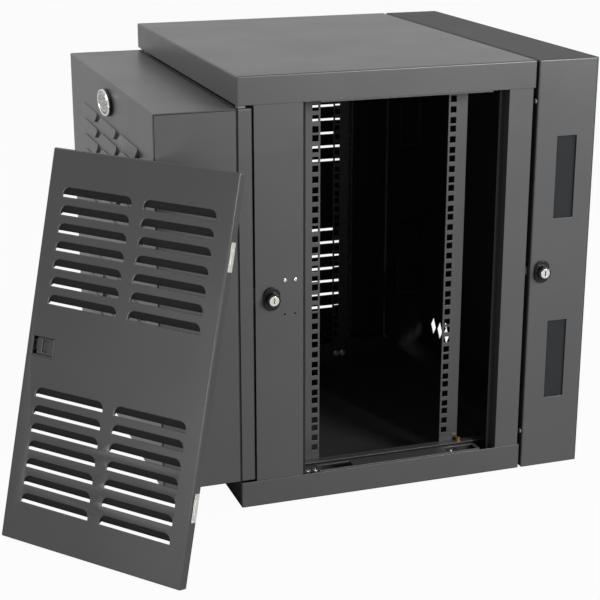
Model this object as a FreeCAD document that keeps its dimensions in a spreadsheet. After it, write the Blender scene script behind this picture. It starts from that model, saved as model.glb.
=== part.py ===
# Swing-out wall mount network cabinet, 12U, built as separate sheet-metal pieces.
# Frame: +X right, -Y front, +Y into the wall, +Z up, millimetres.  The origin is the centre
# of the four wall bolts on the back face, half-way up the cabinet.
import FreeCAD, Part
import math
import os
import re

import Sketcher

Vector = FreeCAD.Vector
doc = FreeCAD.newDocument("network_cabinet")

# ---------------------------------------------------------------- driving dimensions
sheet = doc.addObject("Spreadsheet::Sheet", "sheet")
SIZES = [
    ("cab_width", 593.4), ("cab_height", 637.5), ("centre_depth", 451.0), ("wall_depth", 95.1),
    ("seam_gap", 4.4), ("skin", 1.5), ("bend_radius", 2.2), ("rim_height", 40.0),
    # posts
    ("post_setback", 24.0), ("post_inset", 3.5), ("front_post_width", 71.2),
    ("rear_post_width", 37.7), ("post_return", 33.0), ("seat_lip", 8.5),
    # ledges inside the side openings
    ("ledge_height", 42.3), ("ledge_width", 24.0), ("ledge_length", 262.0),
    ("ledge_slot_length", 50.0), ("ledge_slot_width", 16.0), ("ledge_slot_spacing", 202.0),
    # rack rails, EIA-310
    ("rack_units", 12), ("unit_pitch", 44.45), ("hole_step", 15.875), ("hole_side", 9.5),
    ("hole_spacing", 465.0), ("hole_edge", 7.5), ("rail_skin", 2.0), ("rail_front", 20.0),
    ("rail_side", 29.9), ("front_rail_setback", 108.5), ("rear_rail_setback", 367.5),
    ("support_width", 14.0), ("screw_radius", 3.0), ("screw_height", 20.0), ("screw_grip", 9.5),
    ("nut_height", 4.0), ("stud_setback", 366.8), ("stud_radius", 3.5), ("stud_height", 6.0),
    # front door
    ("door_depth", 117.2), ("door_width", 590.0), ("door_gap_below", 2.0), ("door_gap_above", 4.5),
    ("door_lip", 15.0), ("door_frame_depth", 21.3), ("door_frame_flange", 25.0),
    ("door_seam", 1.2), ("door_seam_depth", 1.0),
    ("pivot_inset", 7.0), ("pivot_setback", 5.5), ("pivot_radius", 2.5), ("pivot_engagement", 6.0),
    ("bracket_width", 20.0), ("bracket_shelf", 3.0), ("bracket_tab", 25.0), ("bracket_skin", 2.0),
    ("pad_inset", 5.0), ("pad_width", 13.0), ("pad_setback", 3.5), ("pad_length", 10.0),
    ("pad_clearance", 1.5),
    ("badge_width", 80.0), ("badge_height", 40.0), ("badge_thickness", 7.5), ("badge_drop", 34.0),
    # lift-off side panels
    ("panel_gap_side", 2.2), ("panel_gap_end", 0.5), ("panel_depth", 14.0), ("panel_skin", 1.2),
    # louvres
    ("louvre_length", 117.5), ("louvre_rise", 13.5), ("louvre_radius", 10.0),
    ("louvre_depth", 6.0), ("louvre_slit", 3.2), ("louvre_pitch", 25.0), ("louvre_rows", 7),
    ("panel_louvre_gap", 130.6), ("panel_louvre_spacing", 138.2), ("panel_louvre_drop", 5.3),
    ("door_louvre_gap", 89.0), ("door_louvre_spacing", 140.5), ("door_louvre_shift", 9.0),
    # locks
    ("lock_reach", 14.0), ("striker_reach", 12.7), ("lock_bezel_width", 24.0),
    ("lock_bezel_height", 35.0), ("lock_bezel_thickness", 3.5), ("lock_barrel_radius", 10.0),
    ("lock_projection", 12.5), ("lock_thread_radius", 9.0), ("lock_cylinder_radius", 7.2),
    ("lock_cylinder_proud", 0.8), ("lock_thread", 15.0), ("lock_nut", 4.0),
    ("key_width", 1.8), ("key_height", 8.0), ("key_depth", 9.0),
    ("cam_depth", 16.0), ("cam_thickness", 3.0), ("cam_outer_radius", 21.5),
    ("cam_inner_radius", 17.3), ("cam_start_angle", 50.0), ("cam_hook_angle", 54.0),
    ("cam_arm_angle", 15.0), ("cam_hub_wall", 1.0),
    ("striker_pin_radius", 2.5), ("striker_width", 20.0), ("striker_arm", 12.0),
    ("striker_inset", 5.0), ("striker_foot", 32.0), ("striker_arm_height", 12.0),
    ("striker_arm_skin", 2.0), ("striker_slot_height", 28.0),
    ("keeper_offset", 19.8), ("keeper_spacing", 15.4), ("keeper_height", 25.6),
    ("keeper_screw_radius", 1.6), ("keeper_head_height", 1.6), ("keeper_skin", 2.0),
    ("keeper_margin_side", 5.5), ("keeper_margin_end", 7.0),
    # panel latch
    ("latch_width", 40.0), ("latch_height", 29.0), ("latch_inset", 9.0), ("bolt_height", 12.0),
    ("bolt_thickness", 4.0), ("bolt_throw", 6.0), ("latch_bolt_depth", 7.0),
    ("thumb_width", 10.0), ("thumb_height", 17.0), ("thumb_depth", 4.0), ("latch_wall", 2.0),
    ("latch_proud", 0.6), ("latch_base", 1.5), ("slide_recess", 0.8),
    # panel spring clips
    ("clip_length", 39.0), ("clip_width", 9.6), ("clip_skin", 0.8), ("clip_spacing", 332.0),
    ("clip_inset", 1.2), ("clip_bow_margin", 1.5),
    # brush cable entries
    ("brush_width", 32.5), ("brush_height", 125.0), ("brush_spacing", 286.0),
    ("brush_setback", 50.0), ("brush_rail", 6.0), ("brush_thickness", 6.0),
    # wall section
    ("wall_lip", 24.0), ("bolt_span_x", 406.4), ("bolt_span_z", 508.0), ("bolt_hole_radius", 5.25),
    ("vent_width", 24.0), ("vent_height", 36.0), ("vent_pitch", 29.5), ("vent_span_x", 459.0),
    ("vent_span_z", 545.0),
    # swing hinge
    ("hinge_length", 70.0), ("hinge_leaf", 32.0), ("hinge_leaf_skin", 2.0), ("hinge_radius", 4.2),
    ("hinge_pin_radius", 2.5), ("hinge_span", 400.0),
    ("hinge_head", 1.5), ("bumper_inset", 5.0), ("bumper_spacing", 517.0), ("bumper_radius", 3.5),
    ("bumper_height", 2.7),
    # clearances
    ("running_gap", 0.3), ("pin_clearance", 0.05),
    # where the lifted-off side panel leans, degrees from the front face and from upright
    ("lean_yaw", 39.8), ("lean_tilt", 16.3), ("lean_contact", 161.6),
]
for row, (alias, number) in enumerate(SIZES, start=1):
    sheet.set(f"A{row}", alias)
    sheet.set(f"B{row}", str(number))
    sheet.setAlias(f"B{row}", alias)
doc.recompute()
ALIASES = {alias for alias, number in SIZES}


def value(alias):
    """A driving dimension as a plain number."""
    return float(sheet.get(alias))


def formula(text):
    """Turn plain alias names into references to the sheet."""
    return re.sub(r"[a-z_]{4,}", lambda m: f"sheet.{m[0]}" if m[0] in ALIASES else m[0], str(text))


# ---------------------------------------------------------------- shared positions
HALF_W = "(cab_width / 2)"
HALF_H = "(cab_height / 2)"
WALL_FRONT = "(-wall_depth)"
CENTRE_BACK = "(-wall_depth - seam_gap)"
CENTRE_FRONT = f"({CENTRE_BACK} - centre_depth)"
POST_FACE = f"({HALF_W} - skin)"
POST_FRONT = f"({CENTRE_FRONT} + post_setback)"
POST_BACK = f"({CENTRE_BACK} - post_inset)"
OPEN_FRONT = f"({POST_FRONT} + front_post_width)"
OPEN_BACK = f"({POST_BACK} - rear_post_width)"
OPEN_MID = f"(({OPEN_FRONT} + {OPEN_BACK}) / 2)"
INNER_H = f"({HALF_H} - skin)"
RAIL_FACE = "(hole_spacing / 2 - hole_edge + rail_front)"
DOOR_HALF = "(door_width / 2)"
DOOR_BOTTOM = f"(-{HALF_H} + rim_height + door_gap_below)"
DOOR_TOP = f"({HALF_H} - rim_height - door_gap_above)"
DOOR_FRONT = f"({CENTRE_FRONT} - door_depth)"
FRAME_BACK = f"({CENTRE_FRONT} + door_frame_depth)"
PANEL_HALF = f"({HALF_H} - ledge_height - panel_gap_end)"
PANEL_FRONT = f"({OPEN_FRONT} + panel_gap_side)"
PANEL_BACK = f"({OPEN_BACK} - panel_gap_side)"
PANEL_INNER = f"({POST_FACE} - panel_depth)"
SEAT_FACE = f"({PANEL_INNER} - running_gap)"
DOOR_LOCK_Y = f"({FRAME_BACK} + striker_reach + lock_reach)"
SWING_LOCK_Y = f"({POST_BACK} + striker_reach + lock_reach)"
STRIKER_SLOT_X = (f"({POST_FACE} - striker_arm - striker_width / 2 - striker_arm_skin)",
                  f"({POST_FACE} - striker_arm + striker_arm_skin + 10 * running_gap)")
STRIKER_SLOT_Z = ("-striker_slot_height / 2", "striker_slot_height / 2")
LATCH_Y = (f"({PANEL_FRONT} + latch_inset)", f"({PANEL_FRONT} + latch_inset + latch_width)")
LATCH_Z = ("-latch_height / 2", "latch_height / 2")
LATCH_FLOOR = f"({PANEL_INNER} + latch_wall)"
POCKET_Y = (f"({LATCH_Y[0]} + latch_wall)", f"({LATCH_Y[1]} - latch_wall)")
POCKET_Z = ("(-latch_height / 2 + latch_wall)", "(latch_height / 2 - latch_wall)")
BOLT_X = (f"({POST_FACE} - latch_bolt_depth - bolt_thickness / 2)",
          f"({POST_FACE} - latch_bolt_depth + bolt_thickness / 2)")
BOLT_Z = ("-bolt_height / 2", "bolt_height / 2")


# ---------------------------------------------------------------- helpers
def bind(thing, prop, text):
    thing.setExpression(prop, formula(text))


def mirrored(span, side):
    """A span of X on the right side, or the same span on the left side."""
    low, high = span
    return (low, high) if side > 0 else (f"-({high})", f"-({low})")


def block(name, x, y, z):
    """A box given by its low and high ends along X, Y and Z."""
    box = doc.addObject("Part::Box", name)
    for prop, base, (low, high) in zip(("Length", "Width", "Height"), "xyz", (x, y, z)):
        bind(box, prop, f"({high}) - ({low})")
        bind(box, f"Placement.Base.{base}", low)
    return box


TURNS = {
    "x": FreeCAD.Rotation(Vector(0, 1, 0), 90),
    "y": FreeCAD.Rotation(Vector(1, 0, 0), -90),
    "z": FreeCAD.Rotation(),
}


def rod(name, axis, start, length, radius):
    """A cylinder from a start point along +X, +Y or +Z."""
    cylinder = doc.addObject("Part::Cylinder", name)
    cylinder.Placement = FreeCAD.Placement(Vector(), TURNS[axis])
    for base, text in zip("xyz", start):
        bind(cylinder, f"Placement.Base.{base}", text)
    bind(cylinder, "Height", length)
    bind(cylinder, "Radius", radius)
    return cylinder


def joined(name, pieces):
    if len(pieces) == 1:
        return pieces[0]
    fuse = doc.addObject("Part::MultiFuse", name)
    fuse.Shapes = pieces
    return fuse


def cut(name, base, tools):
    result = doc.addObject("Part::Cut", name)
    result.Base = base
    result.Tool = joined(f"{name}_tools", tools)
    return result


def group(name, pieces):
    """Several equal loose solids kept in one node."""
    compound = doc.addObject("Part::Compound", name)
    compound.Links = pieces
    return compound


def amount(text):
    """The present value of a formula of aliases."""
    return float(sheet.evalExpression(formula(text)))


def rounded(name, box, pairs):
    """Fillet the edges where two of the box's faces meet, given as pairs such as "+x-y"."""
    box.recompute()
    bounds = box.Shape.BoundBox
    levels = {
        "-x": ("x", bounds.XMin), "+x": ("x", bounds.XMax), "-y": ("y", bounds.YMin),
        "+y": ("y", bounds.YMax), "-z": ("z", bounds.ZMin), "+z": ("z", bounds.ZMax),
    }
    picked = []
    for number, edge in enumerate(box.Shape.Edges, start=1):
        middle = edge.CenterOfMass
        for pair in pairs:
            sides = (levels[pair[:2]], levels[pair[2:]])
            if all(abs(getattr(middle, axis) - level) < 0.01 for axis, level in sides):
                picked.append((number, value("bend_radius"), value("bend_radius")))
    fillet = doc.addObject("Part::Fillet", name)
    fillet.Base = box
    fillet.Edges = picked
    return fillet


def draw(sketch, points):
    """Add a closed outline whose corners are bound to the sheet."""
    first = sketch.GeometryCount
    corners = [Vector(amount(x), amount(y), 0) for x, y in points]
    for start, end in zip(corners, corners[1:] + corners[:1]):
        sketch.addGeometry(Part.LineSegment(start, end), False)
    count = len(points)
    for step in range(count):
        line, following = first + step, first + (step + 1) % count
        sketch.addConstraint(Sketcher.Constraint("Coincident", line, 2, following, 1))
    for step, (x, y) in enumerate(points):
        for kind, text, size in (("DistanceX", x, corners[step].x), ("DistanceY", y, corners[step].y)):
            index = sketch.addConstraint(Sketcher.Constraint(kind, -1, 1, first + step, 1, size))
            bind(sketch, f"Constraints[{index}]", text)


def plane_sketch(body, name, role):
    sketch = body.newObject("Sketcher::SketchObject", name)
    plane = next(item for item in body.Origin.OriginFeatures if item.Role == role)
    sketch.AttachmentSupport = [(plane, "")]
    sketch.MapMode = "FlatFace"
    return sketch


def profile(name, role, points, start, length):
    """A PartDesign body padded from an outline: upwards from XY_Plane, or along +Y from XZ_Plane."""
    body = doc.addObject("PartDesign::Body", name)
    sketch = plane_sketch(body, f"{name}_outline", role)
    draw(sketch, points)
    pad = body.newObject("PartDesign::Pad", f"{name}_pad")
    pad.Profile = sketch
    bind(pad, "Length", length)
    pad.Reversed = role == "XZ_Plane"
    bind(body, "Placement.Base." + ("y" if role == "XZ_Plane" else "z"), start)
    return body


NODES = []


def node(name, thing):
    """Hand in a finished piece under its node name."""
    thing.Label = name
    NODES.append(thing)
    return thing


def side_name(side):
    return "right" if side > 0 else "left"


def end_name(end):
    return "upper" if end > 0 else "lower"


def shell(name, x, y, z, wall, edges):
    """A folded tray: a rounded box whose hollow is open on the faces where wall is 0."""
    outer = rounded(f"{name}_outer", block(f"{name}_box", x, y, z), edges)
    spans = []
    for (low, high), (low_wall, high_wall) in zip((x, y, z), wall):
        spans.append((f"{low} + ({low_wall or -1})", f"{high} - ({high_wall or -1})"))
    return cut(f"{name}_shell", outer, [block(f"{name}_hollow", *spans)])


# ---------------------------------------------------------------- wall section
def wall_section():
    skin = ("skin", "skin")
    front_edges = ("-x-y", "+x-y", "-y-z", "-y+z", "-x-z", "-x+z", "+x-z", "+x+z")
    tray = shell(
        "wall_tray", (f"-{HALF_W}", HALF_W), (WALL_FRONT, "-skin"), (f"-{HALF_H}", HALF_H),
        (skin, ("skin", 0), skin), front_edges)
    tools = [block(
        "wall_mouth", (f"-{HALF_W} + wall_lip", f"{HALF_W} - wall_lip"),
        (f"{WALL_FRONT} - 1", f"{WALL_FRONT} + 2 * skin"),
        (f"-{HALF_H} + wall_lip", f"{HALF_H} - wall_lip"))]
    holders = []
    bristles = []
    brush_y = f"({WALL_FRONT} + brush_setback)"
    window_y = (f"{brush_y} - brush_width / 2", f"{brush_y} + brush_width / 2")
    rail_y = (f"{window_y[0]} - brush_rail", f"{window_y[1]} + brush_rail")
    for side in (1, -1):
        for end in (1, -1):
            tag = f"{side_name(side)}_{end_name(end)}"
            low, high = (f"{end} * brush_spacing / 2 {sign} brush_height / 2" for sign in "-+")
            wall_x = mirrored((f"{HALF_W} - 2 * skin", f"{HALF_W} + 1"), side)
            tools.append(block(f"brush_window_{tag}", wall_x, window_y, (low, high)))
            holder_x = mirrored(
                (f"{HALF_W} - skin - brush_thickness", f"{HALF_W} - skin"), side)
            frame = block(
                f"brush_rail_{tag}", holder_x, rail_y,
                (f"{low} - brush_rail", f"{high} + brush_rail"))
            hole = block(f"brush_gap_{tag}", holder_x, window_y, (low, high))
            holders.append(cut(f"brush_holder_{tag}", frame, [hole]))
            bristle_x = mirrored(
                (f"{HALF_W} - skin - brush_thickness / 2", f"{HALF_W} - skin - 1"), side)
            bristles.append(block(f"bristle_{tag}", bristle_x, window_y, (low, high)))
    tools.append(rod(
        "swing_lock_hole", "x", (f"{HALF_W} - 3", SWING_LOCK_Y, "0"), "4",
        "lock_thread_radius + pin_clearance"))
    tools.append(block(
        "swing_striker_slot", STRIKER_SLOT_X, (f"{WALL_FRONT} - 1", f"{WALL_FRONT} + 2 * skin"),
        STRIKER_SLOT_Z))
    node("wall_frame", cut("wall_frame", tray, tools))
    node("brush_holders", group("brush_holders", holders))
    node("brush_bristles", group("brush_bristles", bristles))

    holes = []
    for x in (1, -1):
        for z in (1, -1):
            holes.append(rod(
                f"bolt_hole_{side_name(x)}_{end_name(z)}", "y",
                (f"{x} * bolt_span_x / 2", "-2 * skin", f"{z} * bolt_span_z / 2"),
                "4 * skin", "bolt_hole_radius"))
            for step in (-1, 0, 1):
                place = (f"{x} * vent_span_x / 2 + {step} * vent_pitch", f"{z} * vent_span_z / 2")
                holes.append(diamond(f"vent_{side_name(x)}_{end_name(z)}_{step + 2}", place))
    plate = rounded(
        "back_plate", block(
            "back_sheet", (f"-{HALF_W}", HALF_W), ("-skin", "0"), (f"-{HALF_H}", HALF_H)),
        ("-x-z", "-x+z", "+x-z", "+x+z"))
    node("back_panel", cut("back_panel", plate, holes))


def diamond(name, place):
    """A diamond-shaped punch through the back panel."""
    x, z = place
    points = [
        (f"{x} - vent_width / 2", z), (x, f"{z} + vent_height / 2"),
        (f"{x} + vent_width / 2", z), (x, f"{z} - vent_height / 2")]
    return profile(name, "XZ_Plane", points, "-2 * skin", "4 * skin")


# ---------------------------------------------------------------- centre section frame
def pan(name, end):
    """The top or bottom tray with its upright rim."""
    z = (f"{HALF_H} - rim_height", HALF_H) if end > 0 else (f"-{HALF_H}", f"-{HALF_H} + rim_height")
    flat = "+z" if end > 0 else "-z"
    edges = ["-x-y", "+x-y", "-x+y", "+x+y", f"-x{flat}", f"+x{flat}", f"-y{flat}", f"+y{flat}"]
    skin = ("skin", "skin")
    wall_z = (0, "skin") if end > 0 else ("skin", 0)
    tray = shell(
        name, (f"-{HALF_W}", HALF_W), (CENTRE_FRONT, CENTRE_BACK), z, (skin, skin, wall_z), edges)
    node(name, tray)


def post(name, side, outer, width, way):
    """A folded upright: outer return, face, inner return and the lip that a side panel seats on."""
    inner = f"({outer} + {way} * {width})"
    steps = [
        (f"{POST_FACE} + skin - post_return", outer), (POST_FACE, outer), (POST_FACE, inner),
        (SEAT_FACE, inner), (SEAT_FACE, f"{inner} + {way} * seat_lip"),
        (f"{SEAT_FACE} - skin", f"{inner} + {way} * seat_lip"),
        (f"{SEAT_FACE} - skin", f"{inner} - {way} * skin"),
        (f"{POST_FACE} - skin", f"{inner} - {way} * skin"),
        (f"{POST_FACE} - skin", f"{outer} + {way} * skin"),
        (f"{POST_FACE} + skin - post_return", f"{outer} + {way} * skin")]
    points = [(f"{side} * ({x})", y) for x, y in steps]
    return profile(f"{name}_fold", "XY_Plane", points, f"-{INNER_H}", f"2 * {INNER_H}")


def posts():
    slot_x = (f"{BOLT_X[0]} - 2 * running_gap", f"{BOLT_X[1]} + 2 * running_gap")
    for side in (1, -1):
        name = f"front_{side_name(side)}_post"
        fold = post(name, side, POST_FRONT, "front_post_width", 1)
        tools = [block(
            f"{name}_bolt_slot", mirrored(slot_x, side), (f"{OPEN_FRONT} - 2 * skin", f"{OPEN_FRONT} + 1"),
            ("-bolt_height / 2 - 1", "bolt_height / 2 + 1"))]
        if side > 0:
            tools.append(block(
                "door_striker_slot", STRIKER_SLOT_X, (f"{POST_FRONT} - 1", f"{POST_FRONT} + 2 * skin"),
                STRIKER_SLOT_Z))
            tools.append(rod(
                "door_lock_hole", "x", (f"{POST_FACE} - 3", DOOR_LOCK_Y, "0"), "4",
                "lock_thread_radius + pin_clearance"))
            for across in (0, 1):
                for end in (1, -1):
                    tools.append(rod(
                        f"keeper_hole_{across}_{end_name(end)}", "x",
                        (f"{POST_FACE} - 3", keeper_y(across), f"{end} * keeper_height"), "4",
                        "keeper_screw_radius + pin_clearance"))
        node(name, cut(name, fold, tools))
        name = f"rear_{side_name(side)}_post"
        node(name, post(name, side, POST_BACK, "rear_post_width", -1))


def keeper_y(across):
    return f"{DOOR_LOCK_Y} + keeper_offset + {across} * keeper_spacing"


def side_ledge(side, end):
    """The bent shelf along the foot or head of a side opening, slotted next to the rim."""
    name = f"{end_name(end)}_{side_name(side)}_ledge"
    top = f"(-{HALF_H} + ledge_height)"
    inner = f"({POST_FACE} - ledge_width)"
    steps = [
        (POST_FACE, f"-{INNER_H}"), (POST_FACE, top), (inner, top), (inner, f"{top} - skin"),
        (f"{POST_FACE} - skin", f"{top} - skin"), (f"{POST_FACE} - skin", f"-{INNER_H}")]
    points = [(f"{side} * ({x})", f"{-end} * ({z})") for x, z in steps]
    fold = profile(
        f"{name}_fold", "XZ_Plane", points, f"{OPEN_MID} - ledge_length / 2", "ledge_length")
    slots = []
    for way in (1, -1):
        middle = f"({OPEN_MID} + {way} * ledge_slot_spacing / 2)"
        level = (f"{top} - 2 * skin", f"{top} + 1")
        slots.append(block(
            f"{name}_slot_{'back' if way > 0 else 'front'}",
            mirrored((f"{POST_FACE} - 2 * skin - ledge_slot_width", f"{POST_FACE} - 2 * skin"), side),
            (f"{middle} - ledge_slot_length / 2", f"{middle} + ledge_slot_length / 2"),
            level if end < 0 else (f"-({level[1]})", f"-({level[0]})")))
    node(name, cut(name, fold, slots))


def rail_support(side, end):
    """A channel from the front rim to the back rim that the rack rails are screwed to."""
    name = f"{end_name(end)}_{side_name(side)}_support"
    top = f"(-{HALF_H} + rim_height)"
    outer = f"({RAIL_FACE} + support_width)"
    steps = [
        (outer, f"-{INNER_H}"), (RAIL_FACE, f"-{INNER_H}"), (RAIL_FACE, top), (outer, top),
        (outer, f"{top} - skin"), (f"{RAIL_FACE} + skin", f"{top} - skin"),
        (f"{RAIL_FACE} + skin", f"-{INNER_H} + skin"), (outer, f"-{INNER_H} + skin")]
    points = [(f"{side} * ({x})", f"{-end} * ({z})") for x, z in steps]
    fold = profile(
        f"{name}_fold", "XZ_Plane", points, f"{CENTRE_FRONT} + skin", "centre_depth - 2 * skin")
    holes = [
        rod(f"{name}_hole_{number}", "x",
            mirrored_start(f"{RAIL_FACE} - 1", "4", side, y, f"{end} * ({HALF_H} - screw_height)"),
            "4", "screw_radius + pin_clearance")
        for number, y in enumerate(screw_places(), start=1)]
    node(name, cut(name, fold, holes))


def mirrored_start(x, length, side, y, z):
    """The start of a rod along +X whose mirror image starts at x on the right side."""
    return (x if side > 0 else f"-({x}) - ({length})", y, z)


def screw_places():
    """Where along Y the rails are screwed to their supports: two screws to each rail."""
    front = f"({CENTRE_FRONT} + front_rail_setback)"
    rear = f"({CENTRE_FRONT} + rear_rail_setback)"
    return [f"{front} + rail_side / 3", f"{front} + 3 * rail_side / 4",
            f"{rear} - 3 * rail_side / 4", f"{rear} - rail_side / 3"]


def rail(side, name, setback, way):
    """A rack rail: an angle with a column of square holes in each flange."""
    name = f"{name}_{side_name(side)}_rail"
    corner = f"({CENTRE_FRONT} + {setback})"
    steps = [
        (f"{RAIL_FACE} - rail_front", corner), (RAIL_FACE, corner),
        (RAIL_FACE, f"{corner} + {way} * rail_side"),
        (f"{RAIL_FACE} - rail_skin", f"{corner} + {way} * rail_side"),
        (f"{RAIL_FACE} - rail_skin", f"{corner} + {way} * rail_skin"),
        (f"{RAIL_FACE} - rail_front", f"{corner} + {way} * rail_skin")]
    points = [(f"{side} * ({x})", y) for x, y in steps]
    body = profile(f"{name}_fold", "XY_Plane", points, f"-{INNER_H}", f"2 * {INNER_H}")
    lowest = f"({INNER_H} - rack_units * unit_pitch / 2 + unit_pitch / 2)"
    columns = (
        ("front", "XZ_Plane", f"{side} * hole_spacing / 2"),
        ("side", "YZ_Plane", f"{corner} + {way} * (rail_side - hole_edge)"))
    for flange, role, across in columns:
        holes = plane_sketch(body, f"{name}_{flange}_squares", role)
        for step in (-1, 0, 1):
            level = f"({lowest} + {step} * hole_step)"
            draw(holes, [
                (f"{across} - hole_side / 2", f"{level} - hole_side / 2"),
                (f"{across} + hole_side / 2", f"{level} - hole_side / 2"),
                (f"{across} + hole_side / 2", f"{level} + hole_side / 2"),
                (f"{across} - hole_side / 2", f"{level} + hole_side / 2")])
        pocket = body.newObject("PartDesign::Pocket", f"{name}_{flange}_unit")
        pocket.Profile = holes
        pocket.SideType = "Symmetric"
        pocket.Type = "ThroughAll"
        units = body.newObject("PartDesign::LinearPattern", f"{name}_{flange}_units")
        units.Originals = [pocket]
        units.Direction = (holes, ["V_Axis"])
        bind(units, "Length", "(rack_units - 1) * unit_pitch")
        bind(units, "Occurrences", "rack_units")
        body.Tip = units
    ends = [f"{end} * ({HALF_H} - screw_height)" for end in (1, -1)]
    places = [y for y in screw_places() if ("front" in y) == ("front" in setback)]
    drills = [
        rod(f"{name}_drill_{number}", "x",
            mirrored_start(f"{RAIL_FACE} - rail_skin - 1", "4", side, y, z), "4",
            "screw_radius + pin_clearance")
        for number, (y, z) in enumerate(((y, z) for y in places for z in ends), start=1)]
    node(name, cut(name, body, drills))


def rail_fasteners():
    screws = []
    nuts = []
    for side in (1, -1):
        for end in (1, -1):
            for number, y in enumerate(screw_places(), start=1):
                tag = f"{side_name(side)}_{end_name(end)}_{number}"
                z = f"{end} * ({HALF_H} - screw_height)"
                head = rod(
                    f"head_{tag}", "x",
                    mirrored_start(f"{RAIL_FACE} - rail_skin - screw_radius", "screw_radius", side, y, z),
                    "screw_radius", "2 * screw_radius")
                shank = rod(
                    f"shank_{tag}", "x",
                    mirrored_start(f"{RAIL_FACE} - rail_skin", "screw_grip", side, y, z),
                    "screw_grip", "screw_radius")
                screws.append(joined(f"screw_{tag}", [head, shank]))
                nut = doc.addObject("Part::Prism", f"hexagon_{tag}")
                nut.Placement = FreeCAD.Placement(Vector(), TURNS["x"])
                start = mirrored_start(f"{RAIL_FACE} + skin", "nut_height", side, y, z)
                for base, text in zip("xyz", start):
                    bind(nut, f"Placement.Base.{base}", text)
                bind(nut, "Circumradius", "2 * screw_radius")
                bind(nut, "Height", "nut_height")
                bore = rod(f"nut_bore_{tag}", "x", start, "nut_height", "screw_radius")
                nuts.append(cut(f"nut_{tag}", nut, [bore]))
    node("rail_screws", group("rail_screws", screws))
    node("rail_nuts", group("rail_nuts", nuts))


# ---------------------------------------------------------------- locks
def lock_set(name, face, y):
    """A cam lock in a wall at X = face: bezel with barrel, nut, key cylinder and hook cam."""
    cap = "lock_bezel_width / 2"
    rise = f"(lock_bezel_height / 2 - {cap})"
    pieces = [
        rod(f"{name}_bezel_{end_name(end)}", "x", (face, y, f"{end} * {rise}"),
            "lock_bezel_thickness", cap)
        for end in (1, -1)]
    pieces.append(block(
        f"{name}_bezel_middle", (face, f"{face} + lock_bezel_thickness"),
        (f"{y} - {cap}", f"{y} + {cap}"), (f"-{rise}", rise)))
    pieces.append(rod(
        f"{name}_barrel", "x", (face, y, "0"), "lock_projection", "lock_barrel_radius"))
    pieces.append(rod(
        f"{name}_thread", "x", (f"{face} - lock_thread", y, "0"), "lock_thread",
        "lock_thread_radius"))
    bore = rod(
        f"{name}_bore", "x", (f"{face} - lock_thread - 1", y, "0"), "lock_thread + lock_projection + 2",
        "lock_cylinder_radius + pin_clearance")
    node(f"{name}_body", cut(f"{name}_body", joined(f"{name}_solid", pieces), [bore]))

    nut = doc.addObject("Part::Prism", f"{name}_hexagon")
    nut.Placement = FreeCAD.Placement(Vector(), TURNS["x"])
    for base, text in zip("xyz", (f"{face} - skin - lock_nut", y, "0")):
        bind(nut, f"Placement.Base.{base}", text)
    bind(nut, "Circumradius", "1.5 * lock_thread_radius")
    bind(nut, "Height", "lock_nut")
    hole = rod(
        f"{name}_nut_bore", "x", (f"{face} - skin - lock_nut - 1", y, "0"), "lock_nut + 2",
        "lock_thread_radius + pin_clearance")
    node(f"{name}_nut", cut(f"{name}_nut", nut, [hole]))

    tail = f"({POST_FACE} - cam_depth)"
    key_end = f"({face} + lock_projection + lock_cylinder_proud)"
    plug = rod(f"{name}_plug", "x", (tail, y, "0"), f"{key_end} - {tail}", "lock_cylinder_radius")
    keyway = block(
        f"{name}_keyway", (f"{key_end} - key_depth", f"{key_end} + 1"),
        (f"{y} - key_width / 2", f"{y} + key_width / 2"), ("-key_height / 2", "key_height / 2"))
    node(f"{name}_cylinder", cut(f"{name}_cylinder", plug, [keyway]))

    start = (f"{tail} - cam_thickness", y, "0")
    ring = cut(
        f"{name}_cam_hook", sector(f"{name}_cam_sweep", start, "cam_hook_angle"),
        [rod(f"{name}_cam_clear", "x", start, "cam_thickness", "cam_inner_radius")])
    spoke = sector(f"{name}_cam_arm", start, "cam_arm_angle")
    hub = rod(f"{name}_cam_hub", "x", start, "cam_thickness", "lock_cylinder_radius + cam_hub_wall")
    node(f"{name}_cam", joined(f"{name}_cam", [ring, spoke, hub]))


def sector(name, start, sweep):
    """A slice of the cam's disc facing +X, from its start angle measured from +Y towards +Z."""
    slice_ = doc.addObject("Part::Cylinder", name)
    first = math.radians(value("cam_start_angle"))
    across = Vector(0, math.cos(first), math.sin(first))
    turn = FreeCAD.Rotation(across, Vector(1, 0, 0).cross(across), Vector(1, 0, 0), "ZXY")
    slice_.Placement = FreeCAD.Placement(Vector(), turn)
    for base, text in zip("xyz", start):
        bind(slice_, f"Placement.Base.{base}", text)
    bind(slice_, "Radius", "cam_outer_radius")
    bind(slice_, "Height", "cam_thickness")
    bind(slice_, "Angle", sweep)
    return slice_


def striker(name, base_y):
    """The staple that a lock cam hooks behind: foot, arm through the slot, and cross pin."""
    outer = f"({POST_FACE} - striker_inset)"
    foot = block(
        f"{name}_foot", (f"{outer} - striker_width", outer),
        (base_y, f"{base_y} + skin"), ("-striker_foot / 2", "striker_foot / 2"))
    arm_x = (f"{POST_FACE} - striker_arm", f"{POST_FACE} - striker_arm + striker_arm_skin")
    arm = block(
        f"{name}_arm", arm_x, (base_y, f"{base_y} + striker_reach + striker_pin_radius + skin"),
        ("-striker_arm_height / 2", "striker_arm_height / 2"))
    pin_start = f"({POST_FACE} - cam_depth - cam_thickness - skin)"
    pin = rod(
        f"{name}_pin", "x", (pin_start, f"{base_y} + striker_reach", "0"),
        f"{arm_x[0]} - {pin_start}", "striker_pin_radius")
    node(name, joined(name, [foot, arm, pin]))


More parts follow.
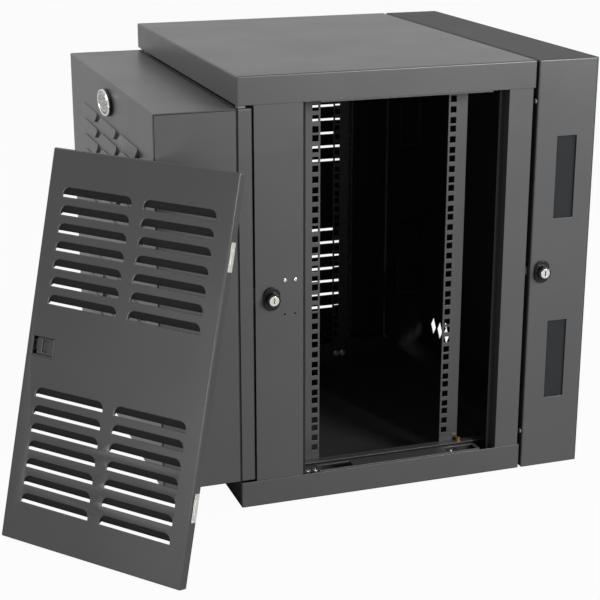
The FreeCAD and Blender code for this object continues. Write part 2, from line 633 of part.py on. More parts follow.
# ---------------------------------------------------------------- hinges
def swing_hinges():
    """Two butt hinges over the seam on the left side, so the cabinet swings off the wall."""
    axis = (f"(-{HALF_W} - hinge_radius)", f"(({WALL_FRONT} + {CENTRE_BACK}) / 2)")
    wall_leaves = []
    centre_leaves = []
    pins = []
    third = "(hinge_length / 3)"
    for end in (1, -1):
        tag = end_name(end)
        middle = f"({end} * hinge_span / 2)"
        knuckles = {
            "low": (f"{middle} - hinge_length / 2", f"{middle} - {third} / 2 - running_gap"),
            "mid": (f"{middle} - {third} / 2", f"{middle} + {third} / 2"),
            "high": (f"{middle} + {third} / 2 + running_gap", f"{middle} + hinge_length / 2")}
        full = (knuckles["low"][0], knuckles["high"][1])
        clear = "(hinge_radius + 2 * running_gap)"
        wall_pieces = [block(
            f"wall_leaf_{tag}", (f"-{HALF_W} - hinge_leaf_skin", f"-{HALF_W}"),
            (f"{axis[1]} + {clear}", f"{axis[1]} + hinge_leaf"), full)]
        centre_pieces = [block(
            f"centre_leaf_{tag}", (f"-{HALF_W} - hinge_leaf_skin", f"-{POST_FACE}"),
            (f"{axis[1]} - hinge_leaf", f"{axis[1]} - {clear}"), full)]
        for label, (low, high) in knuckles.items():
            pieces = centre_pieces if label == "mid" else wall_pieces
            way = -1 if label == "mid" else 1
            ends = (axis[1], f"{axis[1]} + {way} * {clear}")
            pieces.append(block(
                f"{label}_tab_{tag}", (f"-{HALF_W} - hinge_leaf_skin", f"-{HALF_W}"),
                ends if way > 0 else (ends[1], ends[0]), (low, high)))
            pieces.append(rod(
                f"{label}_knuckle_{tag}", "z", (*axis, low), f"{high} - ({low})", "hinge_radius"))
        bore = (
            "z", (*axis, f"{full[0]} - 1"), "hinge_length + 2", "hinge_pin_radius + pin_clearance")
        wall_leaves.append(cut(
            f"wall_hinge_{tag}", joined(f"wall_hinge_{tag}_solid", wall_pieces),
            [rod(f"wall_bore_{tag}", *bore)]))
        centre_leaves.append(cut(
            f"centre_hinge_{tag}", joined(f"centre_hinge_{tag}_solid", centre_pieces),
            [rod(f"centre_bore_{tag}", *bore)]))
        pin = rod(f"hinge_pin_{tag}", "z", (*axis, full[0]), "hinge_length", "hinge_pin_radius")
        head = rod(
            f"hinge_head_{tag}", "z", (*axis, full[1]), "hinge_head", "hinge_radius - running_gap")
        pins.append(joined(f"pin_{tag}", [pin, head]))
    node("swing_hinge_wall_leaves", group("swing_hinge_wall_leaves", wall_leaves))
    node("swing_hinge_centre_leaves", group("swing_hinge_centre_leaves", centre_leaves))
    node("swing_hinge_pins", group("swing_hinge_pins", pins))


def door_pivots():
    """Brackets behind the rims that carry the door's two upright pivot pins."""
    brackets = []
    pins = []
    x = f"(-{DOOR_HALF} + pivot_inset)"
    y = f"({CENTRE_FRONT} + pivot_setback)"
    for end in (1, -1):
        tag = end_name(end)
        rim = f"({HALF_H} - rim_height)"
        door_edge = DOOR_TOP if end > 0 else f"-{DOOR_BOTTOM}"
        spread = (f"-{POST_FACE}", f"-{POST_FACE} + bracket_width")
        shelf = (rim, f"{rim} + bracket_shelf")
        tab = (rim, f"{rim} + bracket_tab")
        pin = (f"({door_edge} - pivot_engagement)", f"{rim} + pivot_engagement")
        if end < 0:
            shelf, tab, pin = ((f"-({high})", f"-({low})") for low, high in (shelf, tab, pin))
        plate = block(f"pivot_shelf_{tag}", spread, (f"{CENTRE_FRONT} + skin", POST_FRONT), shelf)
        back = block(f"pivot_tab_{tag}", spread, (f"{POST_FRONT} - bracket_skin", POST_FRONT), tab)
        hole = rod(
            f"pivot_hole_{tag}", "z", (x, y, f"{shelf[0]} - 1"), "bracket_shelf + 2",
            "pivot_radius + pin_clearance")
        brackets.append(cut(
            f"pivot_bracket_{tag}", joined(f"pivot_angle_{tag}", [plate, back]), [hole]))
        pins.append(rod(f"pivot_pin_{tag}", "z", (x, y, pin[0]), f"{pin[1]} - {pin[0]}", "pivot_radius"))
    node("door_pivot_brackets", group("door_pivot_brackets", brackets))
    node("door_pivot_pins", group("door_pivot_pins", pins))
    return x, y


# ---------------------------------------------------------------- louvres
def outline(length, rise, radius):
    """A louvre's outline in its own frame: straight foot, rounded upper corners."""
    half = length / 2
    slant = radius * math.sqrt(0.5)
    corners = [
        Vector(-half, 0, 0), Vector(half, 0, 0), Vector(half, rise - radius, 0),
        Vector(half - radius + slant, rise - radius + slant, 0), Vector(half - radius, rise, 0),
        Vector(-half + radius, rise, 0), Vector(-half + radius - slant, rise - radius + slant, 0),
        Vector(-half, rise - radius, 0)]
    edges = [
        Part.LineSegment(corners[0], corners[1]).toShape(),
        Part.LineSegment(corners[1], corners[2]).toShape(),
        Part.Arc(corners[2], corners[3], corners[4]).toShape(),
        Part.LineSegment(corners[4], corners[5]).toShape(),
        Part.Arc(corners[5], corners[6], corners[7]).toShape(),
        Part.LineSegment(corners[7], corners[0]).toShape()]
    return Part.Face(Part.Wire(edges))


def louvre(wall):
    """The punched window and the scoop behind it; X along, Y up, Z into the wall."""
    length, rise, radius = value("louvre_length"), value("louvre_rise"), value("louvre_radius")
    depth, slit = value("louvre_depth"), value("louvre_slit")
    window = outline(length, rise, radius).extrude(Vector(0, 0, wall))
    inner = outline(length, rise, radius).extrude(Vector(0, 0, depth + wall))
    outer = outline(length + 2 * wall, rise + wall, radius + wall).extrude(Vector(0, 0, depth + 2 * wall))

    def ramp(lip_depth, foot, low):
        run = [
            Vector(-length, foot, low), Vector(-length, rise + 2 * wall, low),
            Vector(-length, rise + wall, lip_depth - depth), Vector(-length, foot, lip_depth)]
        return Part.Face(Part.makePolygon(run + run[:1])).extrude(Vector(2 * length, 0, 0))

    scoop = outer.common(ramp(depth + 2 * wall, slit, 0))
    hollow = inner.common(ramp(depth + wall, -wall, -wall))
    return window, scoop.cut(hollow)


def louvre_field(name, wall, columns, spacing, levels, placement, hooded=False):
    """Rows and columns of louvres, as one object of windows and one of scoops.

    A hooded field is pressed outward, so its scoops stand on the near side of the wall.
    """
    window, scoop = louvre(wall)
    if hooded:
        scoop = scoop.mirror(Vector(0, 0, wall / 2), Vector(0, 0, 1))
    first = -(columns - 1) / 2 * spacing
    shifts = [Vector(first + column * spacing, level, 0) for column in range(columns) for level in levels]
    made = []
    for label, shape in (("windows", window), ("scoops", scoop)):
        feature = doc.addObject("Part::Feature", f"{name}_{label}")
        feature.Shape = Part.Compound([shape.translated(shift) for shift in shifts])
        feature.Placement = placement
        made.append(feature)
    return made


def louvre_levels(gap):
    """The foot of each louvre row, in two groups about mid-height."""
    pitch = value("louvre_pitch")
    first = value(gap) / 2
    rows = [first + pitch * row for row in range(int(value("louvre_rows")))]
    return [-level for level in reversed(rows)] + rows


# ---------------------------------------------------------------- front door
def front_door():
    skin = value("skin")
    edges = ("-x-y", "+x-y", "-y-z", "-y+z", "-x-z", "-x+z", "+x-z", "+x+z")
    z = (DOOR_BOTTOM, DOOR_TOP)
    both = ("skin", "skin")
    tray = shell("door_tray", (f"-{DOOR_HALF}", DOOR_HALF), (DOOR_FRONT, CENTRE_FRONT), z,
                 (both, both, both), edges)
    mouth = block(
        "door_mouth", (f"-{DOOR_HALF} + door_lip", f"{DOOR_HALF} - door_lip"),
        (f"{CENTRE_FRONT} - 2 * skin", f"{CENTRE_FRONT} + 1"),
        (f"{DOOR_BOTTOM} + door_lip", f"{DOOR_TOP} - door_lip"))
    turn = FreeCAD.Rotation(Vector(-1, 0, 0), Vector(0, 0, 1), Vector(0, 1, 0), "XYZ")
    place = FreeCAD.Placement(Vector(value("door_louvre_shift"), amount(DOOR_FRONT), 0), turn)
    windows, scoops = louvre_field(
        "door", skin, 3, value("door_louvre_spacing"), louvre_levels("door_louvre_gap"), place, True)
    node("door_shell", joined("door_shell", [cut("door_punched", tray, [mouth, windows]), scoops]))

    ring = shell("door_ring", (f"-{DOOR_HALF}", DOOR_HALF), (CENTRE_FRONT, FRAME_BACK), z,
                 (both, (0, "skin"), both), ("-x-z", "-x+z", "+x-z", "+x+z"))
    tools = [block(
        "frame_mouth", (f"-{DOOR_HALF} + door_frame_flange", f"{DOOR_HALF} - door_frame_flange"),
        (f"{FRAME_BACK} - 2 * skin", f"{FRAME_BACK} + 1"),
        (f"{DOOR_BOTTOM} + door_frame_flange", f"{DOOR_TOP} - door_frame_flange"))]
    # a step in the ring's front edge leaves a dark line between it and the door shell
    around = block(
        "seam_around", (f"-{DOOR_HALF} - 1", f"{DOOR_HALF} + 1"),
        (f"{CENTRE_FRONT} - 1", f"{CENTRE_FRONT} + door_seam"), (f"{DOOR_BOTTOM} - 1", f"{DOOR_TOP} + 1"))
    land = block(
        "seam_land", (f"-{DOOR_HALF} + door_seam_depth", f"{DOOR_HALF} - door_seam_depth"),
        (f"{CENTRE_FRONT} - 1", f"{CENTRE_FRONT} + door_seam"),
        (f"{DOOR_BOTTOM} + door_seam_depth", f"{DOOR_TOP} - door_seam_depth"))
    tools.append(cut("seam_step", around, [land]))
    x, y = door_pivots()
    for level, tag in ((DOOR_BOTTOM, "lower"), (DOOR_TOP, "upper")):
        tools.append(rod(f"frame_pivot_hole_{tag}", "z", (x, y, f"{level} - 3"), "6", "pivot_radius"))
    node("door_frame", cut("door_frame", ring, tools))

    pad_x = (f"{DOOR_HALF} - pad_inset - pad_width", f"{DOOR_HALF} - pad_inset")
    pad_y = (f"{CENTRE_FRONT} + pad_setback", f"{CENTRE_FRONT} + pad_setback + pad_length")
    node("door_pads", group("door_pads", [
        block("upper_pad", pad_x, pad_y, (DOOR_TOP, f"{DOOR_TOP} + door_gap_above - pad_clearance")),
        block("lower_pad", pad_x, pad_y, (f"{DOOR_BOTTOM} - door_gap_below + running_gap", DOOR_BOTTOM))]))

    badge = doc.addObject("Part::Feature", "door_badge")
    oval = Part.Ellipse(Vector(), value("badge_width") / 2, value("badge_height") / 2)
    plate = Part.Face(Part.Wire([oval.toShape()])).extrude(Vector(0, 0, value("badge_thickness")))
    badge.Shape = plate.makeFillet(value("badge_thickness") / 3, plate.Edges[-1:])
    badge.Placement = FreeCAD.Placement(
        Vector(0, amount(DOOR_FRONT), amount(f"{DOOR_TOP} - badge_drop")),
        FreeCAD.Rotation(Vector(1, 0, 0), Vector(0, 0, 1), Vector(0, -1, 0), "XYZ"))
    node("door_badge", badge)
    striker("door_striker", FRAME_BACK)


# ---------------------------------------------------------------- side panels
def side_panel(side):
    """A lift-off louvred panel, built where it fits in the right side opening."""
    name = f"{side_name(side)}_panel"
    wall = value("panel_skin")
    skin = ("panel_skin", "panel_skin")
    tray = shell(
        f"{name}_tray", (PANEL_INNER, POST_FACE), (PANEL_FRONT, PANEL_BACK),
        (f"-{PANEL_HALF}", PANEL_HALF), ((0, "panel_skin"), skin, skin),
        ("+x-y", "+x+y", "+x-z", "+x+z", "-y-z", "-y+z", "+y-z", "+y+z"))
    turn = FreeCAD.Rotation(Vector(0, -1, 0), Vector(0, 0, 1), Vector(-1, 0, 0), "XYZ")
    drop = -side * value("panel_louvre_drop")
    place = FreeCAD.Placement(Vector(amount(POST_FACE), amount(OPEN_MID), drop), turn)
    windows, scoops = louvre_field(
        name, wall, 2, value("panel_louvre_spacing"), louvre_levels("panel_louvre_gap"), place)
    window = block(
        f"{name}_latch_window", (f"{POST_FACE} - 2 * panel_skin", f"{POST_FACE} + 1"), LATCH_Y, LATCH_Z)
    passage = block(
        f"{name}_bolt_way",
        *grown((BOLT_X, (f"{PANEL_FRONT} - 1", f"{LATCH_Y[0]} + latch_wall"), BOLT_Z), "xz"))
    sheet_metal = cut(f"{name}_punched", tray, [windows, window, passage])
    return joined(f"{name}_sheet", [sheet_metal, scoops])


def latch_case():
    """The latch's flanged box, with the pocket for its slide."""
    case = block(
        "latch_box", (f"{LATCH_FLOOR} - latch_base", f"{POST_FACE} + latch_proud"), LATCH_Y, LATCH_Z)
    pocket = block("latch_pocket", (LATCH_FLOOR, f"{POST_FACE} + 1"), POCKET_Y, POCKET_Z)
    way = block(
        "latch_way", *grown((BOLT_X, (f"{LATCH_Y[0]} - 1", f"{POCKET_Y[0]} + 1"), BOLT_Z), "xz"))
    return cut("latch_case_piece", case, [pocket, way])


def latch_slide():
    """The thumb slide and its bolt, drawn back so that the panel lifts off."""
    low, high = f"({POCKET_Y[0]} + bolt_throw + running_gap)", f"({POCKET_Y[1]} - running_gap)"
    slide = block(
        "slide_block", (f"{LATCH_FLOOR} + running_gap", f"{POST_FACE} - slide_recess"), (low, high),
        (f"{POCKET_Z[0]} + running_gap", f"{POCKET_Z[1]} - running_gap"))
    middle = f"(({low} + {high}) / 2)"
    thumb = block(
        "thumb_dent", (f"{POST_FACE} - thumb_depth", f"{POST_FACE} + 1"),
        (f"{middle} - thumb_width / 2", f"{middle} + thumb_width / 2"),
        ("-thumb_height / 2", "thumb_height / 2"))
    bolt = block("latch_bolt", BOLT_X, (PANEL_FRONT, f"{low} + 1"), BOLT_Z)
    return joined("latch_slide_piece", [cut("slide_grip", slide, [thumb]), bolt])


def spring_clips():
    """Two bowed strips on the back flange that press on the rear post."""
    clips = []
    edge = f"({PANEL_INNER} + clip_inset)"
    for end in (1, -1):
        tag = end_name(end)
        middle = f"({end} * clip_spacing / 2)"
        strip = block(
            f"clip_strip_{tag}", (edge, f"{edge} + clip_width"),
            (PANEL_BACK, f"{PANEL_BACK} + clip_skin"),
            (f"{middle} - clip_length / 2", f"{middle} + clip_length / 2"))
        bow = block(
            f"clip_bow_{tag}", (f"{edge} + clip_bow_margin", f"{edge} + clip_width - clip_bow_margin"),
            (f"{PANEL_BACK} + clip_skin", f"{OPEN_BACK} - running_gap"),
            (f"{middle} - clip_length / 4", f"{middle} + clip_length / 4"))
        clips.append(joined(f"clip_{tag}", [strip, bow]))
    return group("clip_pair", clips)


def grown(spans, axes):
    """The same box with a running gap added at both ends of the named axes."""
    return [
        (f"{low} - running_gap", f"{high} + running_gap") if axis in axes else (low, high)
        for axis, (low, high) in zip("xyz", spans)]


def side_panels():
    """Both panels are built in the right opening and carried from there to their places."""
    fittings = (
        ("panel_latch_case", latch_case()), ("panel_latch_slide", latch_slide()),
        ("panel_clips", spring_clips()))
    # in the left opening the panel is turned over, so that its latch is again at the front
    turned = FreeCAD.Placement(Vector(), FreeCAD.Rotation(Vector(0, 1, 0), 180))
    for side, placement in ((1, leaning_place()), (-1, turned)):
        for label, piece in (("side_panel", side_panel(side)), *fittings):
            name = f"{side_name(side)}_{label}"
            copy = group(name, [piece])
            copy.Placement = placement
            node(name, copy)


def leaning_place():
    """Lift the right panel out and lean it against the door's near edge, foot on the floor."""
    yaw, tilt = math.radians(value("lean_yaw")), math.radians(value("lean_tilt"))
    along = Vector(math.cos(yaw), math.sin(yaw), 0)
    inward = Vector(-math.sin(yaw), math.cos(yaw), 0)
    turn = FreeCAD.Rotation(along, -value("lean_tilt")) * FreeCAD.Rotation(
        Vector(0, 0, 1), value("lean_yaw") - 90)
    tall = 2 * amount(PANEL_HALF)
    # the panel's inner foot edge stands on the floor and its inner head edge meets the door
    reach = tall * math.sin(tilt) + value("running_gap")
    corner = Vector(amount(DOOR_HALF), amount(DOOR_FRONT), amount(f"-{HALF_H}"))
    # the door's edge is rounded, so the contact point lies on its rounding
    bend = value("bend_radius")
    centre = corner + Vector(-bend, bend, 0)
    contact = centre - inward * bend
    foot = contact - along * value("lean_contact") - inward * reach
    start = Vector(amount(PANEL_INNER), amount(PANEL_FRONT), amount(f"-{PANEL_HALF}"))
    return FreeCAD.Placement(foot - turn.multVec(start), turn)


# ---------------------------------------------------------------- small hardware
def small_hardware():
    """Bumpers on the wall section, the lock's keeper plate with its screws, and the earth stud."""
    bumpers = [
        rod(f"bumper_{end_name(end)}", "y",
            (f"{POST_FACE} - bumper_inset", f"{WALL_FRONT} - bumper_height",
             f"{end} * bumper_spacing / 2"), "bumper_height", "bumper_radius")
        for end in (1, -1)]
    node("seam_bumpers", group("seam_bumpers", bumpers))

    plate_x = (f"({POST_FACE} - skin - keeper_skin)", f"({POST_FACE} - skin)")
    plate = block(
        "keeper_sheet", plate_x,
        (f"{keeper_y(0)} - keeper_margin_side", f"{keeper_y(1)} + keeper_margin_side"),
        ("-keeper_height - keeper_margin_end", "keeper_height + keeper_margin_end"))
    holes = []
    screws = []
    for across in (0, 1):
        for end in (1, -1):
            place = (f"{plate_x[0]} - 1", keeper_y(across), f"{end} * keeper_height")
            holes.append(rod(f"keeper_tap_{across}_{end_name(end)}", "x", place, "4", "keeper_screw_radius"))
        head = rod(f"keeper_head_{across}", "x", (POST_FACE, keeper_y(across), "keeper_height"),
                   "keeper_head_height", "1.8 * keeper_screw_radius")
        shank = rod(f"keeper_shank_{across}", "x", (plate_x[0], keeper_y(across), "keeper_height"),
                    f"{POST_FACE} - {plate_x[0]}", "keeper_screw_radius")
        screws.append(joined(f"keeper_screw_{across}", [head, shank]))
    node("keeper_plate", cut("keeper_plate", plate, holes))
    node("keeper_screws", group("keeper_screws", screws))

    top = f"(-{HALF_H} + rim_height)"
    node("earth_stud", rod(
        "earth_stud", "z",
        (f"{RAIL_FACE} + support_width / 2", f"{CENTRE_FRONT} + stud_setback", top), "stud_height",
        "stud_radius"))


# ---------------------------------------------------------------- assembly
wall_section()
for end in (1, -1):
    pan("top_pan" if end > 0 else "bottom_pan", end)
posts()
for side in (1, -1):
    for end in (1, -1):
        side_ledge(side, end)
        rail_support(side, end)
    rail(side, "front", "front_rail_setback", 1)
    rail(side, "rear", "rear_rail_setback", -1)
rail_fasteners()
small_hardware()
lock_set("door_lock", POST_FACE, DOOR_LOCK_Y)
lock_set("swing_lock", HALF_W, SWING_LOCK_Y)
striker("swing_striker", POST_BACK)
swing_hinges()
front_door()
side_panels()

doc.recompute()
for thing in doc.Objects:
    if "Invalid" in thing.State or "Error" in thing.State:
        raise RuntimeError(f"{thing.Name} did not build: {thing.State}")
os.makedirs("parts", exist_ok=True)
for thing in NODES:
    if thing.Shape.isNull() or not thing.Shape.isValid() or not thing.Shape.Solids:
        raise RuntimeError(f"{thing.Label} has no valid shape")
    thing.Shape.exportStep(f"parts/{thing.Label}.step")
    print(thing.Label, len(thing.Shape.Solids), round(thing.Shape.Volume))
print(len(NODES), "nodes")
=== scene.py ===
import math
import random

import bmesh
import bpy
from mathutils import Matrix, Vector


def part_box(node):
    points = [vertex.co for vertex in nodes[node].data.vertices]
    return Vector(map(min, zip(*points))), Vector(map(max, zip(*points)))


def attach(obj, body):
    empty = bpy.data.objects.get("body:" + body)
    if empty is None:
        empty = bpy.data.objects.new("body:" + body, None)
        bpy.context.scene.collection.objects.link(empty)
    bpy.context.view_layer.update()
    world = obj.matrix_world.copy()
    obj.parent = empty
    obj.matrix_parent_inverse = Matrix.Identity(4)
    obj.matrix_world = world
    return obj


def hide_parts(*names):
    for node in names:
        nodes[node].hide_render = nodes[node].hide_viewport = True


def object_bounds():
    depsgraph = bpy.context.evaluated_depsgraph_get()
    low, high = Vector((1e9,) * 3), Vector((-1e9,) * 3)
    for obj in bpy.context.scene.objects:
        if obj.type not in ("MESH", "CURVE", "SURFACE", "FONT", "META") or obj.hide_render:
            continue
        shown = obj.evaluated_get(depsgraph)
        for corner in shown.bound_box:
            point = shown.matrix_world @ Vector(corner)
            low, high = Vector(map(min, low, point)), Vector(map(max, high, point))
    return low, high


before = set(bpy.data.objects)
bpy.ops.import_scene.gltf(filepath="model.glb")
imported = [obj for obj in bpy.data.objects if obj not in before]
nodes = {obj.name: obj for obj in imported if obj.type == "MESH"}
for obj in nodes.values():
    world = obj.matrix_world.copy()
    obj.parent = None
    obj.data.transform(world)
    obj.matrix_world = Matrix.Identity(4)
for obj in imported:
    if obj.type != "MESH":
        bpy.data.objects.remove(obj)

cad_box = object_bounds()

# ---------------------------------------------------------------- sheet metal
# Every folded sheet of the cabinet: steel, powder coated in one satin black with a fine grain.
# The bends are slightly soft and carry a painted highlight, and the inside carries painted shade,
# drawn much darker.


class Wire:
    """A socket of a shader tree; arithmetic on it adds Math nodes."""

    def __init__(self, tree, link=None):
        self.tree = tree
        self.link = link

    def node(self, kind, settings, inputs, output=0):
        made = self.tree.nodes.new(kind)
        for name, setting in settings.items():
            if name == "stops":
                ramp = made.color_ramp
                for step, (place, shade) in enumerate(setting):
                    stop = ramp.elements[step] if step < 2 else ramp.elements.new(place)
                    stop.position = place
                    stop.color = shade
            else:
                setattr(made, name, setting)
        for name, given in inputs.items():
            if isinstance(given, Wire):
                self.tree.links.new(given.link, made.inputs[name])
            else:
                made.inputs[name].default_value = given
        return Wire(self.tree, made.outputs[output] if made.outputs else None)

    def math(self, operation, *others):
        inputs = dict(enumerate((self, *others)))
        return self.node("ShaderNodeMath", {"operation": operation}, inputs)

    def __add__(self, other):
        return self.math("ADD", other)

    def __radd__(self, other):
        return self.math("ADD", other)

    def __mul__(self, other):
        return self.math("MULTIPLY", other)

    def __rmul__(self, other):
        return self.math("MULTIPLY", other)

    def __sub__(self, other):
        return self.math("SUBTRACT", other)

    def __rsub__(self, other):
        return self.node("ShaderNodeMath", {"operation": "SUBTRACT"}, {0: other, 1: self})

    def __gt__(self, other):
        return self.math("GREATER_THAN", other)

    def noise(self, scale, detail=2.0, roughness=0.5):
        settings = {"noise_dimensions": "3D"}
        inputs = {"Vector": self, "Scale": scale, "Detail": detail, "Roughness": roughness}
        return self.node("ShaderNodeTexNoise", settings, inputs)

    def ramp(self, *stops):
        return self.node("ShaderNodeValToRGB", {"stops": stops}, {"Fac": self})

    def blend(self, factor, one, two):
        return self.node(
            "ShaderNodeMix", {"data_type": "RGBA"}, {"Factor": factor, 6: one, 7: two}, 2)

    def bump(self, distance, strength=1.0, normal=None):
        inputs = {"Height": self, "Distance": distance, "Strength": strength}
        if normal:
            inputs["Normal"] = normal
        return self.node("ShaderNodeBump", {}, inputs)


def material(name, recipe):
    """A material whose recipe gives the Principled inputs from the Object coordinates."""
    made = bpy.data.materials.new(name)
    made.use_nodes = True
    made.node_tree.nodes.clear()
    tree = Wire(made.node_tree)
    place = tree.node("ShaderNodeTexCoord", {}, {}, "Object")
    surface = tree.node("ShaderNodeBsdfPrincipled", {}, recipe(place))
    tree.node("ShaderNodeOutputMaterial", {}, {"Surface": surface})
    return made


def soft_edge(place, radius):
    """The normal with the edges rounded off, and a mask that is 1 on those edges."""
    rounded = place.node("ShaderNodeBevel", {"samples": 6}, {"Radius": radius})
    flat = place.node("ShaderNodeNewGeometry", {}, {}, "Normal")
    level = place.node(
        "ShaderNodeVectorMath", {"operation": "DOT_PRODUCT"}, {0: rounded, 1: flat}, "Value")
    return rounded, (1 - level).math("MULTIPLY", 5.0).math("MINIMUM", 1.0)


def within(place, low, high):
    """A mask that is 1 inside a box."""
    split = [place.node("ShaderNodeSeparateXYZ", {}, {"Vector": place}, axis) for axis in "XYZ"]
    inside = 1.0
    for along, least, most in zip(split, low, high):
        inside = (along > least) * (most - along > 0.0) * inside
    return inside


def tinted(shade, share):
    """A colour made brighter or darker by a share, with its alpha."""
    return [c * share for c in shade] + [1]


def powder_coat(name, shade, edge_highlight, roughness, painted_inside_shade, seam_shadows=(), painted_top_shade=0.0):
    """Satin powder coat with fine orange-peel grain, faint mottling and a painted highlight on its
    folds.

    painted_inside_shade paints shade in the cavity, seam_shadows are boxes painted as black shadow
    lines, and painted_top_shade paints shade on faces that look upward.
    """
    def recipe(place):
        rounded, edge = soft_edge(place, 0.0009)
        cloud = place.noise(9.0, 3.0)
        fleck = place.noise(1400.0, 1.0)
        grain = place.noise(900.0, 2.0)
        peel = place.noise(260.0, 1.0)
        dark, light = tinted(shade, 0.9), tinted(shade, 1.1)
        body = place.blend(cloud * 0.6 + fleck * 0.4, dark, light)
        # painted highlight: the folds are blended towards the brighter edge colour
        colour = place.blend(edge * 0.7, body, edge_highlight)
        rough = roughness - 0.05 + cloud * 0.1
        # painted shade: the cavity is drawn at a small share of the coat's colour
        if painted_inside_shade:
            inside = within(place, *cavity)
            colour = place.blend(inside, colour, tinted(shade, 0.12))
            rough = rough + inside * 0.6
        # painted shade: faces that look upward are drawn darker
        if painted_top_shade:
            normal = place.node("ShaderNodeNewGeometry", {}, {}, "Normal")
            upward = place.node("ShaderNodeSeparateXYZ", {}, {"Vector": normal}, "Z") > 0.7
            colour = place.blend(upward * painted_top_shade, colour, tinted(shade, 0.2))
            rough = rough + upward * painted_top_shade * 0.5
        # painted shadow: each seam box is drawn as a black line
        for low, high in seam_shadows:
            seam_shade = within(place, low, high)
            colour = place.blend(seam_shade, colour, (0.002, 0.002, 0.002, 1))
            rough = rough.math("MAXIMUM", seam_shade * 0.9)
        return {
            "Base Color": colour,
            "Roughness": rough,
            "Normal": (grain * 0.6 + peel * 0.4).bump(0.00012, 0.35, rounded),
        }
    return material(name, recipe)


# the box in which the coat carries painted shade; it takes in the outer faces of the left posts and
# panel
cavity = ((-0.2955, -0.5255, -0.3173), (0.2938, 0.0, 0.3173))
# the second colour is the painted highlight of the folds
coat_shade, coat_edge_highlight = (0.05, 0.0505, 0.052), (0.1, 0.1, 0.102, 1)
coat = powder_coat("black_powder_coat", coat_shade, coat_edge_highlight, 0.36, True)
panel_coat = powder_coat("panel_powder_coat", coat_shade, coat_edge_highlight, 0.3, True)
# painted shade: a darker copy of the coat for the rails, ledges, supports and hinge leaves
shaded_rail_coat = powder_coat("rail_shade_powder_coat", (0.04, 0.0405, 0.042), coat_edge_highlight, 0.42, False)
# the painted highlight colour of the folds on the darkest coats
dark_edge_highlight = (0.02, 0.02, 0.02, 1)
# painted shade: a much darker copy of the coat, for the back panel inside the cabinet
shaded_inner_coat = powder_coat("inner_shade_powder_coat", (0.012, 0.012, 0.013), dark_edge_highlight, 0.85, False)


def dress(finish, *names):
    """Give CAD nodes their finish."""
    for name in names:
        slots = nodes[name].data.materials
        slots.clear()
        slots.append(finish)


# painted shadow lines behind the door's shell, behind its ring, and along two edges of its side
door_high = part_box("door_shell")[1]
side_face = door_high.x - 0.0004
side_front = -0.6666
side_front_end = -0.6655
shell_back = door_high.y
ring_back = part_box("door_frame")[1].y
door_seam_shadows = (
    ((-1, shell_back - 0.0016, -1), (1, shell_back + 0.0018, 1)),
    ((-1, ring_back - 0.0009, -1), (1, ring_back + 0.001, 1)),
    ((side_face, -1, door_high.z - 0.0024), (1, shell_back, door_high.z - 0.0012)),
    ((side_face, side_front, -1), (1, side_front_end, door_high.z - 0.0012)))
door_coat = powder_coat("door_powder_coat", coat_shade, coat_edge_highlight, 0.36, False, door_seam_shadows)
# the wall section's coat carries painted shade on its upward faces and inside the cavity
wall_coat = powder_coat("wall_powder_coat", coat_shade, coat_edge_highlight, 0.36, True, (), 0.6)
uprights = [(place, side) for place in ("front", "rear") for side in ("right", "left")]
channels = [(end, side) for end in ("upper", "lower") for side in ("right", "left")]
dress(wall_coat, "wall_frame")
dress(door_coat, "door_shell", "door_frame")
dress(coat, "top_pan", "bottom_pan", "right_side_panel", "left_side_panel",
      *(f"{place}_{side}_post" for place, side in uprights))
dress(shaded_rail_coat, *(f"{place}_{side}_rail" for place, side in uprights),
      *(f"{end}_{side}_{kind}" for end, side in channels for kind in ("ledge", "support")))
dress(shaded_inner_coat, "back_panel")

# ---------------------------------------------------------------- zinc, nickel and small metal
# Screws, nuts, strikers, pivots and cams are bright zinc plated; the key cylinders are nickel.
# The earth stud is brass.


def plated(name, shade, roughness, scratch):
    """Plated metal with faint drawn lines and patches of duller plate."""
    def recipe(place):
        rounded, _ = soft_edge(place, 0.0004)
        drawn = place.node(
            "ShaderNodeMapping", {}, {"Vector": place, "Scale": (300.0, 2500.0, 300.0)})
        lines = drawn.noise(1.0, 2.0)
        patch = place.noise(180.0, 3.0)
        return {
            "Base Color": place.blend(
                patch * 0.6 + lines * 0.2, [*shade, 1], tinted(shade, 0.72)),
            "Metallic": 1.0,
            "Roughness": roughness + patch * scratch,
            "Normal": lines.bump(0.00002, 0.5, rounded),
        }
    return material(name, recipe)


def piece(name, shape, body, finishes, stands_for=None):
    """Make a mesh object of a bmesh, ride it on its body and hide the CAD node it stands for."""
    mesh = bpy.data.meshes.new(name)
    shape.to_mesh(mesh)
    shape.free()
    for finish in finishes:
        mesh.materials.append(finish)
    made = bpy.data.objects.new(name, mesh)
    bpy.context.scene.collection.objects.link(made)
    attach(made, body)
    if stands_for:
        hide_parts(stands_for)
    return made


def joined_copy(node):
    """A bmesh copy of a CAD node whose loose triangles are joined at their corners."""
    shape = bmesh.new()
    shape.from_mesh(nodes[node].data)
    bmesh.ops.remove_doubles(shape, verts=shape.verts, dist=1e-6)
    return shape


def flat_copy(node):
    """A joined copy of a CAD node with its flat faces whole again."""
    shape = joined_copy(node)
    bmesh.ops.dissolve_limit(
        shape, angle_limit=math.radians(1), verts=shape.verts, edges=shape.edges)
    return shape


def sharp_edges(shape):
    """The edges at which two faces meet at a clear angle."""
    return [edge for edge in shape.edges
            if len(edge.link_faces) == 2 and edge.calc_face_angle() > math.radians(40)]


def round_off(shape, edges, radius, segments, clamped=True):
    """Bevel edges to a radius."""
    bmesh.ops.bevel(
        shape, geom=edges, offset=radius, segments=segments, profile=0.5, affect="EDGES",
        material=-1, clamp_overlap=clamped)


def eased(node, body, finish, radius):
    """A copy of a CAD solid with every sharp edge rounded, standing for that node."""
    shape = flat_copy(node)
    round_off(shape, sharp_edges(shape), radius, 3)
    return piece(f"{node}_eased", shape, body, [finish], node)


